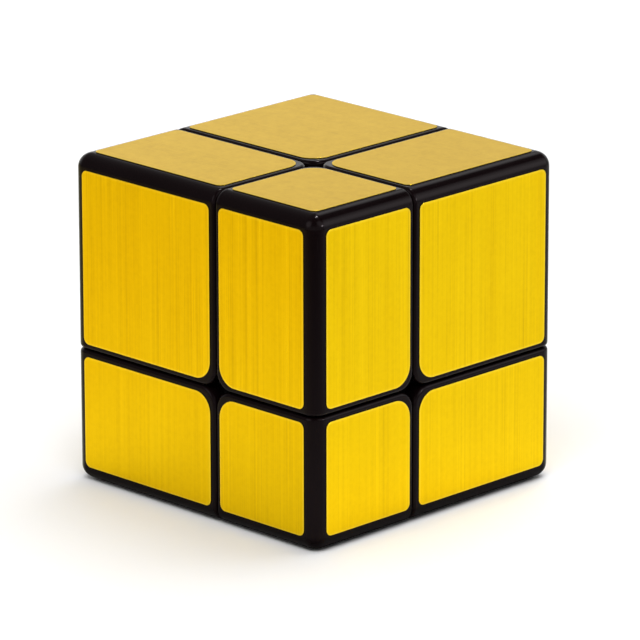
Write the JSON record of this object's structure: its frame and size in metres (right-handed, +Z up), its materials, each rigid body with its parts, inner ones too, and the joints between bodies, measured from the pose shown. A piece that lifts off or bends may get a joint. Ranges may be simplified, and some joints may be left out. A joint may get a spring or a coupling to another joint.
{
  "type": "twisty puzzle cube",
  "caption": "Cube-shaped twisty puzzle with layers of unequal thickness, glossy black corner pieces with brushed gold films, turning about a hidden sprung core.",
  "frame": {"origin": "centre of the bottom face, in the plane the cube rests on", "axes": "+Z up; +X out of the right face and -Y out of the front face, the two upright faces that have the thin layers; the thick layers are at -X, +Y and +Z"},
  "size_m": [0.05, 0.05, 0.05],
  "materials": {
    "gloss_black": "gloss",
    "gold_film": "satin",
    "inner_black": "satin",
    "white_nylon": "satin",
    "steel": "satin"
  },
  "bodies": {
    "core_and_fixed_pieces": {"core": "white_nylon", "centre_cap_down": "inner_black", "centre_cap_back": "inner_black", "centre_cap_left": "inner_black", "edge_slider_down_back": "inner_black", "edge_slider_down_left": "inner_black", "edge_slider_back_left": "inner_black", "corner_cover_down_back_left": "gloss_black", "corner_foot_down_back_left": "inner_black", "films_down_back_left": "gold_film", "tension_springs": "steel", "spring_washers": "steel"},
    "upper_layer": {"centre_cap_up": "inner_black", "edge_slider_up_back": "inner_black", "edge_slider_up_left": "inner_black", "corner_cover_up_back_left": "gloss_black", "corner_foot_up_back_left": "inner_black", "films_up_back_left": "gold_film"},
    "right_layer": {"centre_cap_right": "inner_black", "edge_slider_back_right": "inner_black", "edge_slider_down_right": "inner_black", "corner_cover_down_back_right": "gloss_black", "corner_foot_down_back_right": "inner_black", "films_down_back_right": "gold_film"},
    "front_layer": {"centre_cap_front": "inner_black", "edge_slider_down_front": "inner_black", "edge_slider_front_left": "inner_black", "corner_cover_down_front_left": "gloss_black", "corner_foot_down_front_left": "inner_black", "films_down_front_left": "gold_film"},
    "upper_right_pieces": {"edge_slider_up_right": "inner_black", "corner_cover_up_back_right": "gloss_black", "corner_foot_up_back_right": "inner_black", "films_up_back_right": "gold_film"},
    "front_right_pieces": {"edge_slider_front_right": "inner_black", "corner_cover_down_front_right": "gloss_black", "corner_foot_down_front_right": "inner_black", "films_down_front_right": "gold_film"},
    "upper_front_pieces": {"edge_slider_up_front": "inner_black", "corner_cover_up_front_left": "gloss_black", "corner_foot_up_front_left": "inner_black", "films_up_front_left": "gold_film"},
    "upper_front_right_corner": {"corner_cover_up_front_right": "gloss_black", "corner_foot_up_front_right": "inner_black", "films_up_front_right": "gold_film"},
    "screw_up": {"tension_screw_up": "steel"},
    "screw_down": {"tension_screw_down": "steel"},
    "screw_front": {"tension_screw_front": "steel"},
    "screw_back": {"tension_screw_back": "steel"},
    "screw_left": {"tension_screw_left": "steel"},
    "screw_right": {"tension_screw_right": "steel"}
  },
  "joints": [
    {"name": "layer_upper_turn", "type": "hinge", "parent": "core_and_fixed_pieces", "child": "upper_layer", "pos_m": [0.0047, -0.0047, 0.0203], "axis": [0, 0, 1], "range_deg": [-450, 360]},
    {"name": "layer_right_turn", "type": "hinge", "parent": "core_and_fixed_pieces", "child": "right_layer", "pos_m": [0.0047, -0.0047, 0.0203], "axis": [1, 0, 0], "range_deg": [-360, 450]},
    {"name": "layer_front_turn", "type": "hinge", "parent": "core_and_fixed_pieces", "child": "front_layer", "pos_m": [0.0047, -0.0047, 0.0203], "axis": [0, -1, 0], "range_deg": [-360, 360]},
    {"name": "upper_right_follows_right", "type": "hinge", "parent": "upper_layer", "child": "upper_right_pieces", "pos_m": [0.0047, -0.0047, 0.0203], "axis": [1, 0, 0], "range_deg": [-360, 450]},
    {"name": "front_right_follows_front", "type": "hinge", "parent": "right_layer", "child": "front_right_pieces", "pos_m": [0.0047, -0.0047, 0.0203], "axis": [0, -1, 0], "range_deg": [-360, 360]},
    {"name": "upper_front_follows_upper", "type": "hinge", "parent": "front_layer", "child": "upper_front_pieces", "pos_m": [0.0047, -0.0047, 0.0203], "axis": [0, 0, 1], "range_deg": [-450, 360]},
    {"name": "corner_follows_front", "type": "hinge", "parent": "upper_right_pieces", "child": "upper_front_right_corner", "pos_m": [0.0047, -0.0047, 0.0203], "axis": [0, -1, 0], "range_deg": [-360, 360]},
    {"name": "screw_up_turn", "type": "hinge", "parent": "core_and_fixed_pieces", "child": "screw_up", "pos_m": [0.0047, -0.0047, 0.0203], "axis": [0, 0, 1], "range_deg": [-360, 360]},
    {"name": "screw_down_turn", "type": "hinge", "parent": "core_and_fixed_pieces", "child": "screw_down", "pos_m": [0.0047, -0.0047, 0.0203], "axis": [0, 0, -1], "range_deg": [-360, 360]},
    {"name": "screw_front_turn", "type": "hinge", "parent": "core_and_fixed_pieces", "child": "screw_front", "pos_m": [0.0047, -0.0047, 0.0203], "axis": [0, -1, 0], "range_deg": [-360, 360]},
    {"name": "screw_back_turn", "type": "hinge", "parent": "core_and_fixed_pieces", "child": "screw_back", "pos_m": [0.0047, -0.0047, 0.0203], "axis": [0, 1, 0], "range_deg": [-360, 360]},
    {"name": "screw_left_turn", "type": "hinge", "parent": "core_and_fixed_pieces", "child": "screw_left", "pos_m": [0.0047, -0.0047, 0.0203], "axis": [-1, 0, 0], "range_deg": [-360, 360]},
    {"name": "screw_right_turn", "type": "hinge", "parent": "core_and_fixed_pieces", "child": "screw_right", "pos_m": [0.0047, -0.0047, 0.0203], "axis": [1, 0, 0], "range_deg": [-360, 360]}
  ],
  "couplings": [
    {"joint": "upper_right_follows_right", "follows": "layer_right_turn", "ratio": 1},
    {"joint": "front_right_follows_front", "follows": "layer_front_turn", "ratio": 1},
    {"joint": "upper_front_follows_upper", "follows": "layer_upper_turn", "ratio": 1},
    {"joint": "corner_follows_front", "follows": "layer_front_turn", "ratio": 1}
  ]
}
